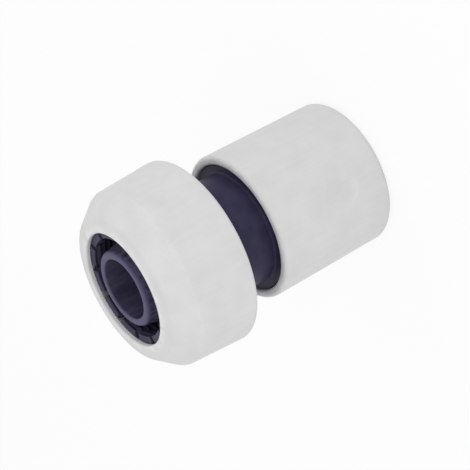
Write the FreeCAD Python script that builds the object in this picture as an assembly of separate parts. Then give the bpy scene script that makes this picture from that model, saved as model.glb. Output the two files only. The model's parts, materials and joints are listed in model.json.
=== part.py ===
import FreeCAD, Part
import math
import os

# A quick-release connector for a 19 mm garden hose. The hose is pushed onto a barbed tail, and a clamping nut
# squeezes the fingers of a collet onto it. The other end is a socket for a tap nipple: four claws hold the
# nipple's ridge until a spring-loaded sleeve is pulled back towards the nut.
# Frame: the origin is the centre of the socket's end face, and +Z runs along the axis towards the hose.

# Fits and clearances
SLIDE_GAP = 0.25
STOP_GAP = 0.1
CLAW_GAP = 0.1
WELD_GAP = 0.02
CONE_GAP = 0.15
SEAT_GAP = 0.1

# Socket core: the mouth flange, and the bores for the nipple
MOUTH_FLANGE_T = 2.4
MOUTH_FLANGE_FILLET = 0.4
SOCKET_BORE_R = 8.9
SOCKET_LEAD = 1.3
CLAW_RELIEF = 0.3
SOCKET_END_MARGIN = 1.2
CORE_WALL = 2.0
SEAL_BORE_R = 6.8
SEAL_BORE_LENGTH = 11.1
SEAL_LEAD = 1.5
SEAL_FLARE_LENGTH = 2.0
SEAL_FLARE = 1.0
SPIGOT_LENGTH = 5.0

# Locking claws
CLAW_COUNT = 4
CLAW_TRAVEL = 1.3
CLAW_LENGTH = 4.0
CLAW_WIDTH = 6.0
CLAW_HEAD_WIDTH = 8.6
CLAW_TIP_R = 7.6
CLAW_RAMP_LENGTH = 2.4
CLAW_START_CLEARANCE = 0.2
GUIDE_MARGIN = 0.6

# Release sleeve: the inner cone, its land, and the spring's pocket
SLEEVE_TRAVEL = 4.5
CONE_MARGIN = 1.1
LAND_LENGTH = 2.2
LAND_CHAMFER = 0.4
SPRING_LIP_WALL = 2.15
SPRING_SEAT_RISE = 7.5
SPRING_POCKET = 1.9

# Release sleeve: the outer shell
SLEEVE_START_Z = 0.3
SLEEVE_REAR_WALL = 2.05
SLEEVE_MOUTH_WALL = 1.65
SLEEVE_DRAFT = 0.2
SLEEVE_RIM_RISE = 0.7
SLEEVE_MOUTH_FILLET = 1.18
SLEEVE_RIM_FILLET = 1.0
SLEEVE_RIM_INNER_FILLET = 0.6

# Thumb recesses in the sleeve
RECESS_COUNT = 2
RECESS_AZIMUTH = -103.5
RECESS_START_Z = 8.2
RECESS_R = 5.2
RECESS_DEPTH = 0.9
RECESS_WALL_LEAN = 54.0
RECESS_WALL_ROUND = 3.6

# Return spring
SPRING_LENGTH = 18.3
SPRING_WIRE_R = 0.55
SPRING_ACTIVE_COILS = 4
SPRING_END_GAP = 0.08

# Tail body: the skirt round the core's spigot, the guide flange and the neck
NECK_WALL = 2.08
NECK_LENGTH = 12.3
SKIRT_STEP = 0.2
GUIDE_FLANGE_T = 2.0
GUIDE_FLANGE_FILLET = 0.5
CHAMBER_STEP = 1.5
CHAMBER_TAPER = 3.5
CHAMBER_ROOF = 1.1

# Tail body: the threaded collar and its web
COLLAR_R = 18.0
COLLAR_WALL = 2.4
COLLAR_LENGTH = 8.2
COLLAR_WEB_T = 2.2
COLLAR_ROOT_FILLET = 0.8
COLLAR_EDGE_FILLET = 0.3

# Tail body: the hose tail
TAIL_BORE_R = 7.05
TAIL_WALL = 1.85
TAIL_LENGTH = 16.7
TAIL_TIP_FILLET = 0.9
TAIL_BORE_FILLET = 0.3
BARB_COUNT = 4
BARB_HEIGHT = 0.7
BARB_PITCH = 3.4
BARB_LAND = 0.7
BARB_FIRST_OFFSET = 1.5

# Screw thread between the collar and the nut
THREAD_LEAD = 3.0
THREAD_DEPTH = 1.3
THREAD_CREST_GAP = 0.4
THREAD_ROOT_WIDTH = 1.6
THREAD_CREST_WIDTH = 0.9
THREAD_RUNOUT = 0.45
THREAD_EMBED = 0.3

# Clamping nut
NUT_WALL = 2.35
NUT_DRAFT = 0.83
NUT_OVERHANG = 0.8
NUT_TAPER_LENGTH = 5.88
NUT_FACE_WIDTH = 3.65
NUT_FACE_DROP = 0.9
NUT_BACK_FILLET = 1.1
NUT_SHOULDER_FILLET = 2.0
NUT_FACE_FILLET = 1.5
NUT_BORE_CHAMFER = 0.5
NUT_LIP_INSET = 0.65
NUT_CONE_STEP = 0.65
NUT_LIP_R = 13.3
NUT_LIP_LENGTH = 0.73
NUT_LIP_ROUND = 0.5

# Snap groove of the nut, which carries the collet's rim
BEAD_LENGTH = 0.6
GROOVE_DEPTH = 0.6
GROOVE_PLAY = 0.3

# Clamping collet
FINGER_COUNT = 12
FINGER_TIP_T = 1.78
FINGER_TIP_DROP = 1.28
FINGER_TAPER_LENGTH = 6.8
FINGER_TIP_ROUND = 0.3
SLOT_WIDTH = 1.4
SLOT_AZIMUTH = 24.7
COLLET_RIM_T = 1.6
COLLET_INSET = 0.6
TOOTH_COUNT = 3
TOOTH_HEIGHT = 0.45
TOOTH_PITCH = 1.9
TOOTH_FIRST_DROP = 0.9

# Radii that follow from the sizes above
CORE_R = SOCKET_BORE_R + CORE_WALL
SPIGOT_SEAT_R = CORE_R + WELD_GAP
NECK_R = SPIGOT_SEAT_R + NECK_WALL
LAND_R = CORE_R + SLIDE_GAP
SPRING_LIP_R = LAND_R + SPRING_LIP_WALL
SLEEVE_BORE_R = SPRING_LIP_R + SPRING_POCKET
SLEEVE_REAR_R = SLEEVE_BORE_R + SLEEVE_REAR_WALL
SLEEVE_MOUTH_R = SLEEVE_REAR_R - SLEEVE_DRAFT
SLEEVE_MOUTH_BORE_R = SLEEVE_MOUTH_R - SLEEVE_MOUTH_WALL
TAIL_ROOT_R = TAIL_BORE_R + TAIL_WALL
NUT_BORE_R = COLLAR_R + THREAD_DEPTH
NUT_BACK_R = NUT_BORE_R + NUT_WALL
BEAD_R = COLLAR_R + SLIDE_GAP
GROOVE_R = BEAD_R + GROOVE_DEPTH
NUT_CONE_BACK_R = GROOVE_R - NUT_CONE_STEP
COLLET_BORE_R = COLLAR_R - COLLAR_WALL - COLLET_INSET

# Heights that follow, from the socket to the hose tail
SLEEVE_STOP_Z = MOUTH_FLANGE_T + STOP_GAP
CLAW_START_Z = SLEEVE_STOP_Z + SLEEVE_TRAVEL + CLAW_START_CLEARANCE
CLAW_END_Z = CLAW_START_Z + CLAW_LENGTH
SEAL_BORE_START_Z = CLAW_END_Z + SOCKET_END_MARGIN + SEAL_LEAD
SEAL_BORE_END_Z = SEAL_BORE_START_Z + SEAL_BORE_LENGTH
CORE_END_Z = SEAL_BORE_END_Z + SEAL_FLARE_LENGTH
CONE_END_Z = CLAW_END_Z + CONE_MARGIN
CONE_SLOPE = CLAW_TRAVEL / SLEEVE_TRAVEL
SPRING_LIP_Z = CONE_END_Z + LAND_LENGTH
SPRING_SEAT_Z = SLEEVE_STOP_Z + SPRING_SEAT_RISE
GUIDE_FLANGE_Z = SPRING_SEAT_Z + SPRING_LENGTH
GUIDE_END_Z = GUIDE_FLANGE_Z + GUIDE_FLANGE_T
SLEEVE_END_Z = GUIDE_END_Z + SLEEVE_RIM_RISE
COLLAR_BACK_Z = GUIDE_END_Z + NECK_LENGTH
COLLAR_END_Z = COLLAR_BACK_Z + COLLAR_LENGTH
TAIL_ROOT_Z = COLLAR_BACK_Z + COLLAR_WEB_T
TAIL_END_Z = TAIL_ROOT_Z + TAIL_LENGTH
NUT_BACK_Z = COLLAR_BACK_Z - NUT_OVERHANG
THREAD_START_Z = COLLAR_BACK_Z + THREAD_ROOT_WIDTH / 2 + THREAD_RUNOUT
THREAD_END_Z = COLLAR_END_Z - BEAD_LENGTH - THREAD_ROOT_WIDTH / 2 - THREAD_RUNOUT / 2
COLLET_BACK_Z = COLLAR_END_Z + SEAT_GAP
COLLET_RIM_END_Z = COLLET_BACK_Z + COLLET_RIM_T
GROOVE_END_Z = COLLAR_END_Z + COLLET_RIM_T + GROOVE_PLAY
NUT_LIP_Z = TAIL_END_Z - NUT_LIP_INSET
NUT_FRONT_Z = NUT_LIP_Z + NUT_LIP_LENGTH + NUT_LIP_ROUND
NUT_CONE_SLOPE = (NUT_CONE_BACK_R - NUT_LIP_R) / (NUT_LIP_Z - GROOVE_END_Z)
FINGER_TIP_Z = NUT_FRONT_Z - FINGER_TIP_DROP

ORIGIN = FreeCAD.Vector(0, 0, 0)
AXIS = FreeCAD.Vector(0, 0, 1)


def corner_arc(before, corner, after, radius):
    """The start, middle and end points of the arc that rounds a corner."""
    to_before = (before - corner).normalize()
    to_after = (after - corner).normalize()
    half_angle = to_before.getAngle(to_after) / 2
    reach = radius / math.tan(half_angle)
    inward = (to_before + to_after).normalize()
    centre = corner + inward * (radius / math.sin(half_angle))
    start = corner + to_before * reach
    middle = centre - inward * radius
    end = corner + to_after * reach
    return start, middle, end


def section(corners):
    """A face in the XZ plane. Each corner is (r, z) or (r, z, radius), and a radius rounds it."""
    points = [FreeCAD.Vector(corner[0], 0, corner[1]) for corner in corners]
    turns = []
    for i, corner in enumerate(corners):
        after = points[(i + 1) % len(points)]
        if len(corner) == 3:
            turns.append(corner_arc(points[i - 1], points[i], after, corner[2]))
        else:
            turns.append((points[i], None, points[i]))
    edges = []
    for i, (start, middle, end) in enumerate(turns):
        edges.append(Part.LineSegment(turns[i - 1][2], start).toShape())
        if middle is not None:
            edges.append(Part.Arc(start, middle, end).toShape())
    return Part.Face(Part.Wire(edges))


def turned(corners):
    """A solid of revolution about the axis."""
    return section(corners).revolve(ORIGIN, AXIS, 360)


def box_between(x_range, y_range, z_range):
    """A box between two values on each axis."""
    size = [high - low for low, high in (x_range, y_range, z_range)]
    return Part.makeBox(*size, FreeCAD.Vector(x_range[0], y_range[0], z_range[0]))


def at_azimuth(shape, azimuth):
    """A copy of a shape, turned about the axis by an angle in degrees."""
    copy = shape.copy()
    copy.rotate(ORIGIN, AXIS, azimuth)
    return copy


def cut_around(shape, tool, count, first_azimuth=0):
    """A shape with copies of a tool cut out of it, evenly spaced about the axis."""
    for i in range(count):
        shape = shape.cut(at_azimuth(tool, first_azimuth + 360 * i / count))
    return shape


def cone_r(z):
    """Radius of the sleeve's inner cone, which presses the claws inwards."""
    return LAND_R + CONE_SLOPE * (CONE_END_Z - z)


def finger_outer_r(z):
    """Radius of the fingers' outer face, which follows the nut's inner cone."""
    return NUT_LIP_R + NUT_CONE_SLOPE * (NUT_LIP_Z - z) - CONE_GAP


def finger_inner_r(z):
    """Radius of the fingers' inner face between their teeth."""
    tip_r = finger_outer_r(FINGER_TIP_Z) - FINGER_TIP_T
    slope = (COLLET_BORE_R - tip_r) / FINGER_TAPER_LENGTH
    return tip_r + slope * (FINGER_TIP_Z - z)


def claw_window():
    """The opening in the core's wall that guides one claw."""
    half_width = CLAW_WIDTH / 2 + CLAW_GAP
    z_range = (CLAW_START_Z - CLAW_GAP, CLAW_END_Z + CLAW_GAP)
    return box_between((0, CORE_R + CORE_WALL), (-half_width, half_width), z_range)


def socket_core():
    """Socket for the nipple: mouth flange, guide bore, claw windows, seal bore and rear spigot."""
    flange_r = SLEEVE_MOUTH_BORE_R - SLIDE_GAP
    relieved_r = SOCKET_BORE_R + CLAW_RELIEF
    guide_end_z = CLAW_START_Z - GUIDE_MARGIN
    core = turned([
        (SOCKET_BORE_R + SOCKET_LEAD, 0),
        (flange_r, 0, MOUTH_FLANGE_FILLET),
        (flange_r, MOUTH_FLANGE_T, MOUTH_FLANGE_FILLET),
        (CORE_R, MOUTH_FLANGE_T),
        (CORE_R, CORE_END_Z),
        (SEAL_BORE_R + SEAL_FLARE, CORE_END_Z),
        (SEAL_BORE_R, SEAL_BORE_END_Z),
        (SEAL_BORE_R, SEAL_BORE_START_Z),
        (relieved_r, SEAL_BORE_START_Z - SEAL_LEAD),
        (relieved_r, guide_end_z),
        (SOCKET_BORE_R, guide_end_z),
        (SOCKET_BORE_R, SOCKET_LEAD),
    ])
    return cut_around(core, claw_window(), CLAW_COUNT)


def locking_claw():
    """A claw: a tooth and stem that slide in the window, and a head that rides on the sleeve's cone."""
    head_r = CORE_R + CLAW_GAP
    outer_start = (cone_r(CLAW_START_Z) - CLAW_GAP, CLAW_START_Z)
    outer_end = (cone_r(CLAW_END_Z) - CLAW_GAP, CLAW_END_Z)
    stem_ring = turned([
        (SOCKET_BORE_R, CLAW_START_Z),
        outer_start,
        outer_end,
        (CLAW_TIP_R, CLAW_END_Z),
        (CLAW_TIP_R, CLAW_START_Z + CLAW_RAMP_LENGTH),
    ])
    head_ring = turned([(head_r, CLAW_START_Z), outer_start, outer_end, (head_r, CLAW_END_Z)])
    reach = (0, SLEEVE_REAR_R)
    height = (0, CORE_END_Z)
    stem = stem_ring.common(box_between(reach, (-CLAW_WIDTH / 2, CLAW_WIDTH / 2), height))
    head = head_ring.common(box_between(reach, (-CLAW_HEAD_WIDTH / 2, CLAW_HEAD_WIDTH / 2), height))
    return stem.fuse(head).removeSplitter()


def shell_r(z):
    """Radius of the sleeve's outer face, which narrows a little towards the mouth."""
    share = (z - SLEEVE_START_Z) / (SLEEVE_END_Z - SLEEVE_START_Z)
    return SLEEVE_MOUTH_R + SLEEVE_DRAFT * share


def thumb_recess():
    """A round dish whose flat floor is tilted: deepest near the socket, it runs out towards the nut."""
    height = 2 * SLEEVE_REAR_WALL
    spread = math.tan(math.radians(RECESS_WALL_LEAN))
    floor_r = RECESS_R - RECESS_DEPTH * spread
    dish = turned([
        (0, 0),
        (floor_r, 0, RECESS_WALL_ROUND),
        (floor_r + height * spread, height),
        (0, height),
    ])
    tilt = math.degrees(math.atan(RECESS_DEPTH / (2 * floor_r)))
    dish.rotate(ORIGIN, FreeCAD.Vector(0, 1, 0), 90 + tilt)
    centre_z = RECESS_START_Z + RECESS_R
    dish.translate(FreeCAD.Vector(shell_r(centre_z) - RECESS_DEPTH / 2, 0, centre_z))
    return dish


def release_sleeve():
    """Outer shell, inner cone with its land, and the pocket that the spring stands in."""
    sleeve = turned([
        (SLEEVE_MOUTH_BORE_R, SLEEVE_START_Z),
        (SLEEVE_MOUTH_R, SLEEVE_START_Z, SLEEVE_MOUTH_FILLET),
        (SLEEVE_REAR_R, SLEEVE_END_Z, SLEEVE_RIM_FILLET),
        (SLEEVE_BORE_R, SLEEVE_END_Z, SLEEVE_RIM_INNER_FILLET),
        (SLEEVE_BORE_R, SPRING_SEAT_Z),
        (SPRING_LIP_R, SPRING_SEAT_Z),
        (SPRING_LIP_R, SPRING_LIP_Z),
        (LAND_R + LAND_CHAMFER, SPRING_LIP_Z),
        (LAND_R, SPRING_LIP_Z - LAND_CHAMFER),
        (LAND_R, CONE_END_Z),
        (cone_r(SLEEVE_STOP_Z), SLEEVE_STOP_Z),
        (SLEEVE_MOUTH_BORE_R, SLEEVE_STOP_Z),
    ])
    return cut_around(sleeve, thumb_recess(), RECESS_COUNT, RECESS_AZIMUTH)


def spring_path(coil_r, low, high):
    """A helix in half turns, with one closed coil at each end and open coils between them."""
    closed_pitch = 2 * SPRING_WIRE_R + SPRING_END_GAP
    open_pitch = (high - low - 2 * closed_pitch) / SPRING_ACTIVE_COILS
    closed_coil = [closed_pitch] * 2
    open_coils = [open_pitch] * 2 * SPRING_ACTIVE_COILS
    edges = []
    z = low
    for i, pitch in enumerate(closed_coil + open_coils + closed_coil):
        half_turn = at_azimuth(Part.makeHelix(pitch, pitch / 2, coil_r), 180 * i)
        half_turn.translate(FreeCAD.Vector(0, 0, z))
        edges.extend(half_turn.Edges)
        z += pitch / 2
    return Part.Wire(edges)


def return_spring():
    """A coil spring with closed ends, from the floor of the sleeve's pocket to the guide flange."""
    coil_r = SPRING_LIP_R + SPRING_POCKET / 2
    low = SPRING_SEAT_Z + STOP_GAP + SPRING_WIRE_R
    high = GUIDE_FLANGE_Z - STOP_GAP - SPRING_WIRE_R
    path = spring_path(coil_r, low, high)
    direction = path.Edges[0].tangentAt(path.Edges[0].FirstParameter)
    wire_section = Part.Circle(FreeCAD.Vector(coil_r, 0, low), direction, SPRING_WIRE_R)
    return path.makePipeShell([Part.Wire(wire_section.toShape())], True, True)


def thread_ridge(root_r, crest_r, azimuth):
    """A helical ridge with leaning flanks, sunk a little into the wall that it stands on."""
    path = Part.makeHelix(THREAD_LEAD, THREAD_END_Z - THREAD_START_Z, root_r)
    depth = crest_r - root_r
    sunk = -math.copysign(THREAD_EMBED, depth)
    lean = (THREAD_ROOT_WIDTH - THREAD_CREST_WIDTH) / 2 / abs(depth)
    sunk_half = THREAD_ROOT_WIDTH / 2 + lean * THREAD_EMBED
    crest_half = THREAD_CREST_WIDTH / 2
    outline = [
        FreeCAD.Vector(root_r + sunk, 0, -sunk_half),
        FreeCAD.Vector(crest_r, 0, -crest_half),
        FreeCAD.Vector(crest_r, 0, crest_half),
        FreeCAD.Vector(root_r + sunk, 0, sunk_half),
    ]
    profile = Part.makePolygon(outline + outline[:1])
    ridge = Part.Wire(path.Edges).makePipeShell([profile], True, True)
    ridge.translate(FreeCAD.Vector(0, 0, THREAD_START_Z))
    return at_azimuth(ridge, azimuth)


def barbed_outline():
    """The tail's outside, from its root to its tip. Each barb rises towards the root and ends in a step."""
    first_z = TAIL_ROOT_Z + BARB_FIRST_OFFSET
    barb_r = TAIL_ROOT_R + BARB_HEIGHT
    corners = [(TAIL_ROOT_R, TAIL_ROOT_Z)]
    for i in range(BARB_COUNT):
        step_z = first_z + i * BARB_PITCH
        corners.append((TAIL_ROOT_R, step_z))
        corners.append((barb_r, step_z))
        corners.append((barb_r, step_z + BARB_LAND))
    corners.append((TAIL_ROOT_R, first_z + BARB_COUNT * BARB_PITCH))
    corners.append((TAIL_ROOT_R, TAIL_END_Z, TAIL_TIP_FILLET))
    return corners


def tail_body():
    """Skirt over the core's spigot, guide flange, neck, threaded collar and barbed hose tail."""
    skirt_r = NECK_R - SKIRT_STEP
    guide_r = SLEEVE_BORE_R - SLIDE_GAP
    skirt_start_z = CORE_END_Z - SPIGOT_LENGTH
    spigot_stop_z = CORE_END_Z + WELD_GAP
    chamber_r = CORE_R - CHAMBER_STEP
    chamber_top_z = COLLAR_BACK_Z - CHAMBER_ROOF
    outside = [
        (SPIGOT_SEAT_R, skirt_start_z),
        (skirt_r, skirt_start_z, GUIDE_FLANGE_FILLET),
        (skirt_r, GUIDE_FLANGE_Z),
        (guide_r, GUIDE_FLANGE_Z),
        (guide_r, GUIDE_END_Z),
        (NECK_R, GUIDE_END_Z, GUIDE_FLANGE_FILLET),
        (NECK_R, COLLAR_BACK_Z, COLLAR_ROOT_FILLET),
        (COLLAR_R, COLLAR_BACK_Z, COLLAR_EDGE_FILLET),
        (COLLAR_R, COLLAR_END_Z),
        (COLLAR_R - COLLAR_WALL, COLLAR_END_Z),
        (COLLAR_R - COLLAR_WALL, TAIL_ROOT_Z),
    ]
    bore = [
        (TAIL_BORE_R, TAIL_END_Z, TAIL_BORE_FILLET),
        (TAIL_BORE_R, chamber_top_z),
        (chamber_r, chamber_top_z - CHAMBER_TAPER),
        (chamber_r, spigot_stop_z),
        (SPIGOT_SEAT_R, spigot_stop_z),
    ]
    ridge = thread_ridge(COLLAR_R, NUT_BORE_R - THREAD_CREST_GAP, 0)
    return turned(outside + barbed_outline() + bore).fuse(ridge)


def clamp_collet():
    """A snap rim with toothed fingers that lean inwards to their tips."""
    rim_r = GROOVE_R - SLIDE_GAP
    corners = [
        (COLLET_BORE_R, COLLET_BACK_Z),
        (rim_r, COLLET_BACK_Z),
        (rim_r, COLLET_RIM_END_Z),
        (finger_outer_r(COLLET_RIM_END_Z), COLLET_RIM_END_Z),
        (finger_outer_r(FINGER_TIP_Z), FINGER_TIP_Z, FINGER_TIP_ROUND),
        (finger_inner_r(FINGER_TIP_Z), FINGER_TIP_Z, FINGER_TIP_ROUND),
    ]
    for i in range(TOOTH_COUNT):
        ramp_z = FINGER_TIP_Z - TOOTH_FIRST_DROP - i * TOOTH_PITCH
        edge_z = ramp_z - TOOTH_PITCH / 2
        corners.append((finger_inner_r(ramp_z), ramp_z))
        corners.append((finger_inner_r(edge_z) - TOOTH_HEIGHT, edge_z))
        corners.append((finger_inner_r(edge_z), edge_z))
    corners.append((COLLET_BORE_R, FINGER_TIP_Z - FINGER_TAPER_LENGTH))
    half_slot = SLOT_WIDTH / 2
    slot_z = (COLLET_RIM_END_Z + SLIDE_GAP, NUT_FRONT_Z)
    slot = box_between((0, NUT_BACK_R), (-half_slot, half_slot), slot_z)
    return cut_around(turned(corners), slot, FINGER_COUNT, SLOT_AZIMUTH)


def clamp_nut():
    """A cap nut: threaded bore, snap groove for the collet's rim, inner cone and rounded lip."""
    bead_z = COLLAR_END_Z - BEAD_LENGTH
    shoulder = (NUT_BACK_R - NUT_DRAFT, NUT_FRONT_Z - NUT_TAPER_LENGTH, NUT_SHOULDER_FILLET)
    face_edge = (NUT_LIP_R + NUT_FACE_WIDTH, NUT_FRONT_Z - NUT_FACE_DROP, NUT_FACE_FILLET)
    shell = turned([
        (NUT_BORE_R + NUT_BORE_CHAMFER, NUT_BACK_Z),
        (NUT_BACK_R, NUT_BACK_Z, NUT_BACK_FILLET),
        shoulder,
        face_edge,
        (NUT_LIP_R, NUT_FRONT_Z, NUT_LIP_ROUND),
        (NUT_LIP_R, NUT_LIP_Z),
        (NUT_CONE_BACK_R, GROOVE_END_Z),
        (GROOVE_R, GROOVE_END_Z),
        (GROOVE_R, COLLAR_END_Z),
        (BEAD_R, COLLAR_END_Z),
        (BEAD_R, bead_z),
        (NUT_BORE_R, bead_z),
        (NUT_BORE_R, NUT_BACK_Z + NUT_BORE_CHAMFER),
    ])
    return shell.fuse(thread_ridge(NUT_BORE_R, COLLAR_R + THREAD_CREST_GAP, 180))


def main():
    os.makedirs("parts", exist_ok=True)
    shapes = {
        "socket_core": socket_core(),
        "tail_body": tail_body(),
        "clamp_collet": clamp_collet(),
        "clamp_nut": clamp_nut(),
        "release_sleeve": release_sleeve(),
        "return_spring": return_spring(),
    }
    for i in range(CLAW_COUNT):
        shapes[f"locking_claw_{i + 1}"] = at_azimuth(locking_claw(), 360 * i / CLAW_COUNT)
    for name, shape in shapes.items():
        shape.exportStep(f"parts/{name}.step")
        print(name, len(shape.Solids), round(shape.Volume, 2), shape.isValid())


main()
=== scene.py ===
# %% [markdown] # A garden hose connector, dressed on its CAD frame The fitting stands on its socket end.
# From the floor upwards there is a pale release sleeve, a dark neck and a pale clamping nut, with a dark
# collet and the hose tail in its mouth. They stay where they are and get their finishes here. Only the coil
# spring is modelled again, because it has to shorten when the sleeve is pulled back.

# %% Load the frame
import bpy
import json
import math
from mathutils import Matrix, Vector


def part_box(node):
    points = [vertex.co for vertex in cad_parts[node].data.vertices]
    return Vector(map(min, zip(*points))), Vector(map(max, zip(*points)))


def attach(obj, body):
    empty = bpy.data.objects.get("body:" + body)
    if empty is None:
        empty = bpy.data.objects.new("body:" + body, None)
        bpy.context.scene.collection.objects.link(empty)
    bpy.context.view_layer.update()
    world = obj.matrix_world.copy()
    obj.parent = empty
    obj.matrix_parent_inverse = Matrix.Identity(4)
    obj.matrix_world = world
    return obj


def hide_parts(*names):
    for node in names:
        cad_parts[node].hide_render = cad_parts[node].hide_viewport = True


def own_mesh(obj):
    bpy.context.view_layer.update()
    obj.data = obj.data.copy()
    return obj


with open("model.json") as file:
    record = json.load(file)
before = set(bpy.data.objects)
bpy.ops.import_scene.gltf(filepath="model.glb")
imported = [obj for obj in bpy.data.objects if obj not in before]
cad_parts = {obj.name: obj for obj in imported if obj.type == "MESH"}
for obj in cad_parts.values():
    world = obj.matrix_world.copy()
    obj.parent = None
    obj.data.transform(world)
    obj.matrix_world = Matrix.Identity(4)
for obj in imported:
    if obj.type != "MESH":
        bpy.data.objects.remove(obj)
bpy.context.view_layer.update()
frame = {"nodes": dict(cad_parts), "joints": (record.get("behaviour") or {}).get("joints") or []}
nodes = frame["nodes"]
MM = 0.001
print("CAD nodes:", sorted(nodes))

# %% [markdown]
# ## Sums that become shader nodes
# A finish is a small calculation that runs at every point of the surface. It could be put together node by
# node, with every link by hand, but that soon becomes hard to read. Here a signal stands for one output of a
# node, and ordinary arithmetic on signals adds the Math nodes. The reflected forms make 1 - mask work as
# well as mask - 1.

# %% A signal is one output of a shader node
class Signal:
    def __init__(self, bench, node, output=0):
        self.bench = bench
        self.node = node
        self.socket = node.outputs[output]

    def output(self, name):
        """Another output of the same node."""
        return Signal(self.bench, self.node, name)

    def math(self, operation, *values):
        return self.bench.add("ShaderNodeMath", {"operation": operation}, dict(enumerate(values)))

    def __add__(self, other):
        return self.math("ADD", self, other)

    def __sub__(self, other):
        return self.math("SUBTRACT", self, other)

    def __rsub__(self, other):
        return self.math("SUBTRACT", other, self)

    def __mul__(self, other):
        return self.math("MULTIPLY", self, other)

    def __pow__(self, other):
        return self.math("POWER", self, other)

    def __rpow__(self, other):
        return self.math("POWER", other, self)

    __radd__ = __add__
    __rmul__ = __mul__

    def ramp(self, low, high):
        """0 below low, 1 above high, with a soft start and end."""
        inputs = {"Value": self, "From Min": low, "From Max": high}
        return self.bench.add("ShaderNodeMapRange", {"interpolation_type": "SMOOTHSTEP"}, inputs)

    def inside(self, low, high, edge):
        """1 between low and high and 0 outside them, with soft edges within them."""
        return self.ramp(low, low + edge) * (1 - self.ramp(high - edge, high))


def methods(kind):
    return [name for name in vars(kind) if not name.startswith("_")]


print("besides its arithmetic, a signal has:", methods(Signal))

# %% [markdown]
# ## A bench for nodes
# All other nodes come from one method, which sets the node's settings first and then feeds its sockets with
# numbers, colours or links. The materials and the sky are both made on such a bench, so they read the same
# way. The bench also knows which rays only look: the white ground is meant for those, not for the light.

# %% A bench puts nodes into one node tree
class Bench:
    def __init__(self, tree):
        self.tree = tree

    def add(self, kind, settings, inputs):
        node = self.tree.nodes.new(kind)
        for name, value in settings.items():
            setattr(node, name, value)
        for key, value in inputs.items():
            self.feed(node.inputs[key], value)
        return Signal(self, node)

    def feed(self, socket, value):
        """Link a signal to the socket, or write a number or a colour into it."""
        if isinstance(value, Signal):
            self.tree.links.new(value.socket, socket)
        else:
            socket.default_value = value

    def looking_rays(self):
        """1 for rays from the camera, a reflection or glass, and 0 for rays that carry light."""
        rays = self.add("ShaderNodeLightPath", {}, {})
        mirrored = rays.output("Is Glossy Ray") + rays.output("Is Transmission Ray")
        looking = rays.output("Is Camera Ray") + mirrored
        return looking.math("MINIMUM", looking, 1)


print("a bench has:", methods(Bench))

# %% [markdown]
# ## A finish
# Every finish starts from the same few things: the place of the point on the piece, and noise of a chosen
# grain. Patterns read Object coordinates, so they stay on the piece when it moves. The last step fills the
# sockets of the one surface shader. Noise is nearly always between 0.3 and 0.7, so a ramp over that range
# turns it into a pattern that runs from 0 to 1.

# %% A finish holds one material
NOISE_RANGE = (0.3, 0.7)


class Finish(Bench):
    def __init__(self, name):
        self.material = bpy.data.materials.new(name)
        self.material.use_nodes = True
        super().__init__(self.material.node_tree)
        self.shader = self.tree.nodes["Principled BSDF"]
        self.place = self.add("ShaderNodeTexCoord", {}, {}).output("Object")
        self.x = self.add("ShaderNodeSeparateXYZ", {}, {0: self.place})
        self.y = self.x.output("Y")
        self.z = self.x.output("Z")

    def noise(self, grain, detail=3, stretch=(1, 1, 1)):
        """Noise with lumps about as wide as grain, and longer along an axis whose stretch is below 1."""
        vector = self.add("ShaderNodeMapping", {}, {"Vector": self.place, "Scale": stretch})
        return self.add("ShaderNodeTexNoise", {}, {"Vector": vector, "Scale": 1 / grain, "Detail": detail})

    def blend(self, amount, first, second):
        """A colour between two others."""
        mix = self.add("ShaderNodeMix", {"data_type": "RGBA"}, {"Factor": amount, 6: first, 7: second})
        return Signal(self, mix.node, 2)

    def bump(self, height, depth, strength):
        """A relief that is depth deep where height goes from 0 to 1."""
        inputs = {"Height": height, "Distance": depth, "Strength": strength}
        return self.add("ShaderNodeBump", {}, inputs)

    def finish(self, **sockets):
        for name, value in sockets.items():
            self.feed(self.shader.inputs[name.replace("_", " ")], value)
        print("finish", self.material.name, "has", len(self.tree.nodes), "nodes")
        return self.material


print("a finish adds:", methods(Finish))

# %% [markdown]
# ## Pale plastic of the nut and the sleeve
# Both are moulded in a light grey plastic, in a mould with a fine matt texture. One flat colour would look
# like paper, and strong noise would look like stone. The real surface is nearly even, so the pattern is
# faint: clouds where the melt cooled at different rates, thin streaks along the axis where it flowed, and a
# fine grain. Fingers polish the middle a little, and the two end rims are rubbed lighter in patches, because
# they are what touches the ground when the hose is dragged.

# %% The pale finish
PALE_LOW = (0.624, 0.625, 0.627, 1)
PALE_HIGH = (0.668, 0.667, 0.666, 1)
PALE_RUBBED = (0.745, 0.745, 0.745, 1)
RUBBED_SHARE = 0.8
PALE_ROUGHNESS = 0.46
PALE_GLOSS = 0.35
PLASTIC_IOR = 1.46
HELD_MARGIN = 4 * MM
HELD_EDGE = 3 * MM
RIM_WEAR = 0.5 * MM


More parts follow.
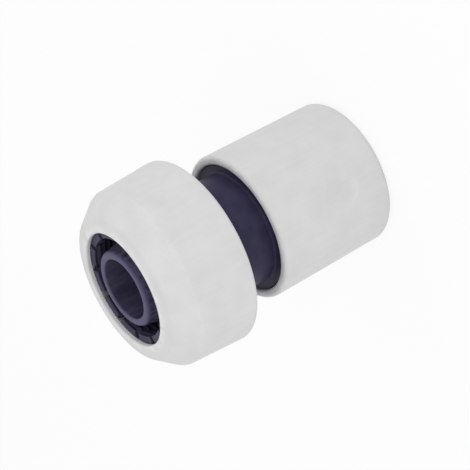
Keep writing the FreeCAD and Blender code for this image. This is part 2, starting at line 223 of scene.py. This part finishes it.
def pale_plastic(name, low, high):
    """The finish of a pale piece that reaches from the height low to high."""
    f = Finish(name)
    clouds = f.noise(grain=6 * MM, detail=4)
    streaks = f.noise(grain=0.8 * MM, stretch=(1, 1, 0.06))
    specks = f.noise(grain=0.22 * MM, detail=2)
    held = f.z.inside(low + HELD_MARGIN, high - HELD_MARGIN, HELD_EDGE)
    rims = 1 - f.z.inside(low, high, RIM_WEAR)
    rubbed = rims * f.noise(grain=2.4 * MM, detail=6).ramp(0.36, 0.60)
    polished = held * f.noise(grain=2 * MM)
    tone = clouds * 0.7 + streaks * 0.3
    colour = f.blend(tone.ramp(*NOISE_RANGE), PALE_LOW, PALE_HIGH)
    colour = f.blend(rubbed * RUBBED_SHARE, colour, PALE_RUBBED)
    roughness = PALE_ROUGHNESS + clouds * 0.08 - polished * 0.10 + rubbed * 0.08
    relief = f.bump(specks + streaks * 0.5 - rubbed * 0.4, depth=0.02 * MM, strength=0.7)
    return f.finish(
        Base_Color=colour, Roughness=roughness, Normal=relief,
        IOR=PLASTIC_IOR, Specular_IOR_Level=PALE_GLOSS,
    )


print("the pale plastic goes from", PALE_LOW[:3], "to", PALE_HIGH[:3])

# %% The nut and the sleeve are each worn at their own rims
pale_finishes = {}
for node_name in ("clamp_nut", "release_sleeve"):
    lowest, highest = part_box(node_name)
    pale_finishes[node_name] = pale_plastic(node_name + "_plastic", lowest.z, highest.z)
    print(node_name, "has rims at", round(lowest.z / MM, 2), "and", round(highest.z / MM, 2), "mm")

# %% [markdown]
# ## Dark blue plastic of the body and the collet
# The body parts are dyed right through in a blue that is nearly black. Black would lose the blue that the
# photograph shows in the neck, and a clear blue would be too bright in the nut's mouth. Fine rub marks run
# round the axis, from the nut being turned. The tail's rim is painted lighter, a painted highlight together
# with rub wear from each hose pushed on over it, and so are the tips of the collet's fingers, though less.
# Two marks are painted light. A lighter greyish film brightens the shaded waterway, found by its distance
# from the axis. Lighter streaks along the push brighten the shaded gap between the tail's barbs and the
# fingers. Those are found by their height as well.

# %% The dark blue finish
BLUE_SCUFFED = (0.05, 0.047, 0.085, 1)
# painted highlight and rub wear: the lighter colour of the tail's rim and of the collet's finger tips
BLUE_HIGHLIGHT_AND_WEAR = (0.082, 0.078, 0.142, 1)
# painted light: a lighter greyish colour that brightens the shaded waterway
WATERWAY_PAINTED_LIGHT = (0.100, 0.096, 0.145, 1)
# painted light: a lighter blue in the shaded gap between the tail's barbs and the collet's fingers
GAP_PAINTED_LIGHT = (0.105, 0.100, 0.165, 1)
WATERWAY_LIGHT_SHARE = 0.45
GAP_LIGHT_SHARE = 0.8
BLUE_ROUGHNESS = 0.42
BLUE_GLOSS = 0.15
TIP_BAND = 0.6 * MM
WATERWAY_R = 7.2 * MM
WATERWAY_EDGE = 0.1 * MM
HOSE_SEAT_R = (8.2 * MM, 17.2 * MM)
HOSE_SEAT_EDGE = 0.4 * MM
HOSE_END_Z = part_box("clamp_collet")[0].z


def blue_plastic(name, dark, light, scuffs, tip, tip_highlight_and_wear):
    """The finish of a blue piece whose end towards the hose is at the height tip."""
    f = Finish(name)
    clouds = f.noise(grain=3.5 * MM, detail=4)
    around = f.noise(grain=0.5 * MM, stretch=(0.12, 0.12, 1))
    specks = f.noise(grain=0.18 * MM, detail=2)
    scuffed = around.ramp(0.58, 0.72) * scuffs
    patches = 0.7 + f.noise(grain=0.6 * MM) * 0.6
    # painted highlight and rub wear: the band at the tip is painted lighter
    rubbed = f.z.ramp(tip - TIP_BAND, tip) * patches * tip_highlight_and_wear
    from_axis = (f.x * f.x + f.y * f.y) ** 0.5
    in_waterway = 1 - from_axis.ramp(WATERWAY_R - WATERWAY_EDGE, WATERWAY_R + WATERWAY_EDGE)
    # painted light inside the shaded waterway
    waterway_light_noise = f.noise(grain=1.6 * MM, detail=4, stretch=(1, 1, 0.2)).ramp(*NOISE_RANGE)
    painted_waterway_light = in_waterway * waterway_light_noise * WATERWAY_LIGHT_SHARE
    # painted light in streaks along the axis, in the shaded gap between the tail's barbs and the fingers
    at_hose_height = f.z.inside(HOSE_END_Z, tip - TIP_BAND / 2, TIP_BAND)
    on_seat = at_hose_height * from_axis.inside(*HOSE_SEAT_R, HOSE_SEAT_EDGE)
    gap_light_noise = f.noise(grain=1.0 * MM, detail=4, stretch=(1, 1, 0.15)).ramp(0.2, 0.7)
    painted_gap_light = on_seat * gap_light_noise * GAP_LIGHT_SHARE
    colour = f.blend(clouds.ramp(*NOISE_RANGE), dark, light)
    colour = f.blend(scuffed, colour, BLUE_SCUFFED)
    # the tip band gets its painted highlight and rub wear
    colour = f.blend(rubbed, colour, BLUE_HIGHLIGHT_AND_WEAR)
    # the waterway gets its painted light
    colour = f.blend(painted_waterway_light, colour, WATERWAY_PAINTED_LIGHT)
    # the gap between the tail and the fingers gets its painted light
    colour = f.blend(painted_gap_light, colour, GAP_PAINTED_LIGHT)
    roughness = BLUE_ROUGHNESS + clouds * 0.10 + scuffed * 0.12 + (painted_waterway_light + painted_gap_light) * 0.2
    relief = f.bump(specks + around * 0.6, depth=0.016 * MM, strength=0.7)
    return f.finish(
        Base_Color=colour, Roughness=roughness, Normal=relief,
        IOR=PLASTIC_IOR, Specular_IOR_Level=BLUE_GLOSS,
    )


print("the hose reaches down to", round(HOSE_END_Z / MM, 2), "mm")

# %% The body and the collet differ a little: the collet's blue is painted lighter, as painted light for its shaded place in the nut's mouth, and it is more scuffed
body_plastic = blue_plastic(
    "body_plastic", dark=(0.030, 0.027, 0.061, 1), light=(0.041, 0.037, 0.077, 1),
    scuffs=0.25, tip=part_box("tail_body")[1].z, tip_highlight_and_wear=0.95,
)
# painted light: the collet's lighter blue stands in for light in the shaded mouth
collet_plastic = blue_plastic(
    "collet_plastic", dark=(0.033, 0.030, 0.059, 1), light=(0.045, 0.042, 0.078, 1),
    scuffs=0.4, tip=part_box("clamp_collet")[1].z, tip_highlight_and_wear=0.12,
)

# %% [markdown]
# ## Claw plastic
# The claws slide on the sleeve's cone each time the fitting is released, so they are a slippery, waxy white
# plastic. A little light goes into the real one and comes out again. They sit deep in the socket, where
# nobody would see that, so a soft bloom in colour and gloss takes its place.

# %% The claw finish
WAX_DULL = (0.52, 0.52, 0.49, 1)
WAX_WHITE = (0.60, 0.60, 0.58, 1)


def waxy_plastic(name):
    f = Finish(name)
    bloom = f.noise(grain=1.2 * MM)
    colour = f.blend(bloom.ramp(*NOISE_RANGE), WAX_DULL, WAX_WHITE)
    relief = f.bump(f.noise(grain=0.2 * MM, detail=2), depth=0.006 * MM, strength=0.6)
    return f.finish(Base_Color=colour, Roughness=0.3 + bloom * 0.12, Normal=relief)


claw_wax = waxy_plastic("claw_wax")

# %% [markdown]
# ## Drawn spring wire
# The wire is stainless steel, pulled through a die, so its shine is broken by fine lines along its length.
# A pattern that follows the wire would need a map of its own. The coils run nearly level round the axis, so
# noise that is drawn out in the level directions gives the same look.

# %% The wire's finish
STEEL_BRIGHT = (0.60, 0.60, 0.61, 1)
STEEL_TARNISHED = (0.42, 0.40, 0.37, 1)


def drawn_wire(name):
    f = Finish(name)
    lines = f.noise(grain=0.07 * MM, detail=2, stretch=(0.05, 0.05, 1))
    tarnish = f.noise(grain=1.5 * MM, detail=4)
    colour = f.blend(tarnish.ramp(0.4, 0.75), STEEL_BRIGHT, STEEL_TARNISHED)
    relief = f.bump(lines, depth=0.004 * MM, strength=0.8)
    return f.finish(Base_Color=colour, Roughness=0.24 + lines * 0.14, Metallic=1.0, Normal=relief)


drawn_steel = drawn_wire("drawn_steel")

# %% [markdown]
# ## Finishes on the CAD nodes
# Each of these pieces could be copied and modelled again, but the solids already have the real outline, so
# every one keeps its mesh. Only its one material slot is pointed at the new finish.

# %% Assign the finishes
dressing = {
    "clamp_nut": pale_finishes["clamp_nut"],
    "release_sleeve": pale_finishes["release_sleeve"],
    "socket_core": body_plastic,
    "tail_body": body_plastic,
    "clamp_collet": collet_plastic,
}
for node_name in sorted(nodes):
    if node_name.startswith("locking_claw"):
        dressing[node_name] = claw_wax
for node_name, material in dressing.items():
    for slot in nodes[node_name].material_slots:
        slot.material = material
    print(node_name, "is", material.name)

# %% [markdown]
# ## The return spring
# A spring of round wire pushes the sleeve back after the fitting is released. Its first and last coils lie
# close, so that it stands flat, and the coils between are open. It could be a curve with a round bevel, or a
# circle with a Screw modifier, but that has one pitch all the way. By hand it is a circle, the wire's
# section, extruded and turned a few degrees about the axis again and again. The rise per step sets the
# pitch, so closed and open coils come from one loop.

# %% Spring sizes, in metres, from the box of the CAD spring
spring_low, spring_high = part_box("return_spring")
WIRE_R = 0.55 * MM
WIRE_SIDES = 14
STEPS_PER_COIL = 40
CLOSED_PITCH = 1.18 * MM
OPEN_COILS = 4
coil_r = spring_high.x - WIRE_R
step_angle = 2 * math.pi / STEPS_PER_COIL
centre_rise = spring_high.z - spring_low.z - 2 * WIRE_R
open_pitch = (centre_rise - 2 * CLOSED_PITCH) / OPEN_COILS
closed_coil = [CLOSED_PITCH] * STEPS_PER_COIL
pitches = closed_coil + [open_pitch] * STEPS_PER_COIL * OPEN_COILS + closed_coil
print("coil radius in mm:", round(coil_r / MM, 3), "open pitch in mm:", round(open_pitch / MM, 2))

# %% [markdown]
# ## The wire's section
# The section is a filled circle that stands upright, square to the wire. An operator acts on all that is
# selected, and the CAD nodes are still selected from loading, so they are deselected first. The circle's
# place is then applied to its mesh, so that the object sits at the origin, as a CAD node's does.

# %% Draw the wire's section
def deselect_all():
    for piece in bpy.context.selected_objects:
        piece.select_set(False)


deselect_all()
bpy.ops.mesh.primitive_circle_add(
    vertices=WIRE_SIDES, radius=WIRE_R, fill_type="NGON",
    location=(coil_r, 0, spring_low.z + WIRE_R), rotation=(math.pi / 2, 0, 0),
)
spring = bpy.context.object
spring.name = "spring_coil"
bpy.ops.object.transform_apply(location=True, rotation=True, scale=True)
print("the wire's section has", len(spring.data.vertices), "corners")

# %% [markdown]
# ## From the section to the coil
# Each extrusion leaves its new end selected, so the next one goes on from there. Without a window, the
# rotate operator turns the other way and doesn't know the centre. So the angle is negative, and the centre
# is given.

# %% Extrude and turn it into a coil
SMOOTH_BELOW = math.radians(40)
bpy.ops.object.mode_set(mode="EDIT")
bpy.ops.mesh.select_all(action="SELECT")
for pitch in pitches:
    rise = (0, 0, pitch / STEPS_PER_COIL)
    bpy.ops.mesh.extrude_region_move(TRANSFORM_OT_translate={"value": rise})
    bpy.ops.transform.rotate(value=-step_angle, orient_axis="Z", center_override=(0, 0, 0))
bpy.ops.mesh.select_all(action="SELECT")
bpy.ops.mesh.normals_make_consistent(inside=False)
bpy.ops.object.mode_set(mode="OBJECT")
bpy.ops.object.shade_smooth_by_angle(angle=SMOOTH_BELOW)
spring.data.materials.append(drawn_steel)
top_z = max(corner.co.z for corner in spring.data.vertices)
print("spring faces:", len(spring.data.polygons), "top in mm:", round(top_z / MM, 2))

# %% [markdown]
# ## The spring on the body
# The spring's upper end rests under the body's guide flange. In the real fitting its lower end moves with
# the sleeve, so the coil is squashed towards the upper end by the sleeve's travel. Here the spring is
# attached to the body in the CAD spring's place, and the share of its length it would keep is worked out
# from the joint's own travel; the coil itself is not shortened.

# %% Put it in the CAD spring's place
sleeve_slide = next(joint for joint in frame["joints"] if joint["name"] == "sleeve_slide")
travel = sleeve_slide["range_m"][1]
kept_length = 1 - travel / (spring_high.z - spring_low.z)
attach(spring, "fitting_body")
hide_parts("return_spring")
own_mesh(spring)
print("the spring keeps", round(kept_length, 3), "of its length")

# %% [markdown]
# ## The camera
# The fitting stands upright here, but the photograph shows it lying over to one side. It could be laid down,
# but then its own axes would be lost, so the camera is rolled instead. The camera's tilt, roll and distance
# were fitted to the outline of the nut, the neck and the sleeve. A long lens gives the slight perspective
# that the outline shows.

# %% Place the camera
ABOVE = math.radians(26.8)
ROLL = math.radians(28.6)
LOOK_AT = Vector((0, 0, 31.98 * MM))
DISTANCE = 390.8 * MM
OFFSET_RIGHT = 0.545 * MM
OFFSET_UP = -1.0 * MM
FOCAL_LENGTH_MM = 136.2
SENSOR_WIDTH_MM = 36
NEAREST_SEEN = 10 * MM
back = Vector((0, -math.cos(ABOVE), math.sin(ABOVE)))
right = Vector((-math.sin(ROLL), -math.cos(ROLL) * math.sin(ABOVE), -math.cos(ROLL) * math.cos(ABOVE)))
up = back.cross(right)
eye = LOOK_AT + DISTANCE * back + OFFSET_RIGHT * right + OFFSET_UP * up
camera_data = bpy.data.cameras.new("camera")
camera_data.lens = FOCAL_LENGTH_MM
camera_data.sensor_width = SENSOR_WIDTH_MM
camera_data.clip_start = NEAREST_SEEN
camera = bpy.data.objects.new("camera", camera_data)
camera.matrix_world = Matrix.Translation(eye) @ Matrix((right, up, back)).transposed().to_4x4()
bpy.context.scene.collection.objects.link(camera)
bpy.context.scene.camera = camera
print("camera at", [round(c, 4) for c in eye])

# %% [markdown]
# ## A white floor
# The photograph has a plain white ground. A lamp strong enough to burn a floor white would burn the pale
# plastic too. So the floor is a matt white surface that takes the object's shadow, mixed with a glow that
# only the camera and reflections see. It lies a hair below the socket's end face, so that the two never
# fight for the same place.

# %% The floor
GLOW = 0.86
WHITE = (1, 1, 1, 1)
FLOOR_WHITE = (0.9, 0.9, 0.9, 1)
FLOOR_WIDTH = 6
FLOOR_GAP = 0.05 * MM
deselect_all()
bpy.ops.mesh.primitive_plane_add(size=FLOOR_WIDTH, location=(0, 0, -FLOOR_GAP))
floor = bpy.context.object
floor.name = "floor"
ground = Finish("floor_white")
ground.finish(Base_Color=FLOOR_WHITE, Roughness=0.9, Specular_IOR_Level=0.0)
glow = ground.add("ShaderNodeEmission", {}, {"Color": WHITE, "Strength": 1.0})
matt = Signal(ground, ground.shader, "BSDF")
surface = ground.add("ShaderNodeMixShader", {}, {0: ground.looking_rays() * GLOW, 1: matt, 2: glow})
ground.feed(ground.tree.nodes["Material Output"].inputs["Surface"], surface)
floor.data.materials.append(ground.material)
print("floor glow", GLOW)

# %% [markdown]
# ## A white sky
# The photograph's light is very even, as in a light tent, so most of the light here comes from a white sky.
# As a light it is a little dimmer than it looks to the camera, which leaves room for the lamps.

# %% The sky
SKY = 0.84
world = bpy.data.worlds.new("sky")
world.use_nodes = True
sky = Bench(world.node_tree)
background = sky.tree.nodes["Background"]
sky.feed(background.inputs["Color"], WHITE)
sky.feed(background.inputs["Strength"], SKY + sky.looking_rays() * (1 - SKY))
bpy.context.scene.world = world
bpy.context.scene.view_settings.view_transform = "Standard"
print("sky strength", SKY)

# %% [markdown]
# ## Four broad lamps
# The sky alone leaves the nut's mouth dark and the outline's edges dull. One strong lamp would shade the
# pale parts more than the photograph shows. So there are four weak ones, placed as soft boxes are in a
# product studio. The key lamp shines down into the mouth from the hose's side, and brightens the far end of
# the thumb recess. The front lamp stands near the camera and reaches between the fingers. One side lamp
# lifts each edge of the outline.

# %% The lamps look at the fitting's middle
LAMP_DISTANCE = 0.6


def soft_lamp(name, direction, size, power):
    """A square lamp in the given direction from the fitting, its size in metres and its power in watts."""
    lamp_data = bpy.data.lights.new(name, "AREA")
    lamp_data.size = size
    lamp_data.energy = power
    lamp = bpy.data.objects.new(name, lamp_data)
    toward = direction.normalized()
    lamp.location = LOOK_AT + toward * LAMP_DISTANCE
    lamp.rotation_euler = toward.to_track_quat("Z", "Y").to_euler()
    bpy.context.scene.collection.objects.link(lamp)
    print(name, "has power", power)


soft_lamp("key_lamp", Vector((-0.1, -0.6, 0.8)), size=0.25, power=0.38)
soft_lamp("front_lamp", back + 0.1 * up, size=0.2, power=0.26)
soft_lamp("upper_side_lamp", Vector((1, -0.25, 0.25)), size=0.25, power=0.35)
soft_lamp("lower_side_lamp", Vector((-1, -0.25, 0.25)), size=0.25, power=0.25)

# %% [markdown] ## Finish The scene is brought up to date.

# %% Finish
bpy.context.view_layer.update()
